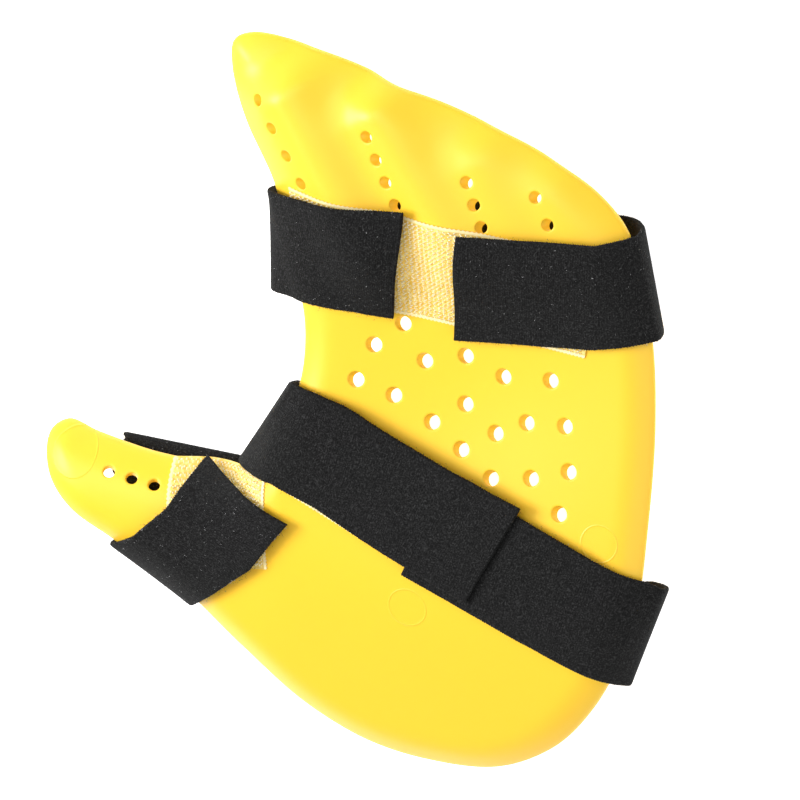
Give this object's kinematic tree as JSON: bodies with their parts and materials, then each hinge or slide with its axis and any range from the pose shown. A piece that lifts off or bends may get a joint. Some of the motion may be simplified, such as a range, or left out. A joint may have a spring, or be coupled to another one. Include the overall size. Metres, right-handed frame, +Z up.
{
  "type": "finger splint board",
  "caption": "Hand-shaped vented splint board with finger grooves, a thumb rest and loop-fabric straps that close on hook tape.",
  "frame": {"origin": "middle of the footprint, on the floor that the straps and the heel of the board rest on", "axes": "+X across the fingers from the thumb side to the little-finger side, +Y from the heel towards the fingertips, +Z up, out of the palm side of the board"},
  "size_m": [0.2406, 0.2756, 0.0386],
  "materials": {
    "board": "satin moulded yellow plastic",
    "strap": "brushed black loop fabric",
    "hook_tape": "cream translucent nylon hooks"
  },
  "bodies": {
    "root": {"splint_board": "board", "finger_strap": "strap", "palm_strap": "strap", "thumb_strap": "strap", "finger_hook_tape": "hook_tape", "palm_hook_tape": "hook_tape", "thumb_hook_tape": "hook_tape"}
  },
  "joints": []
}
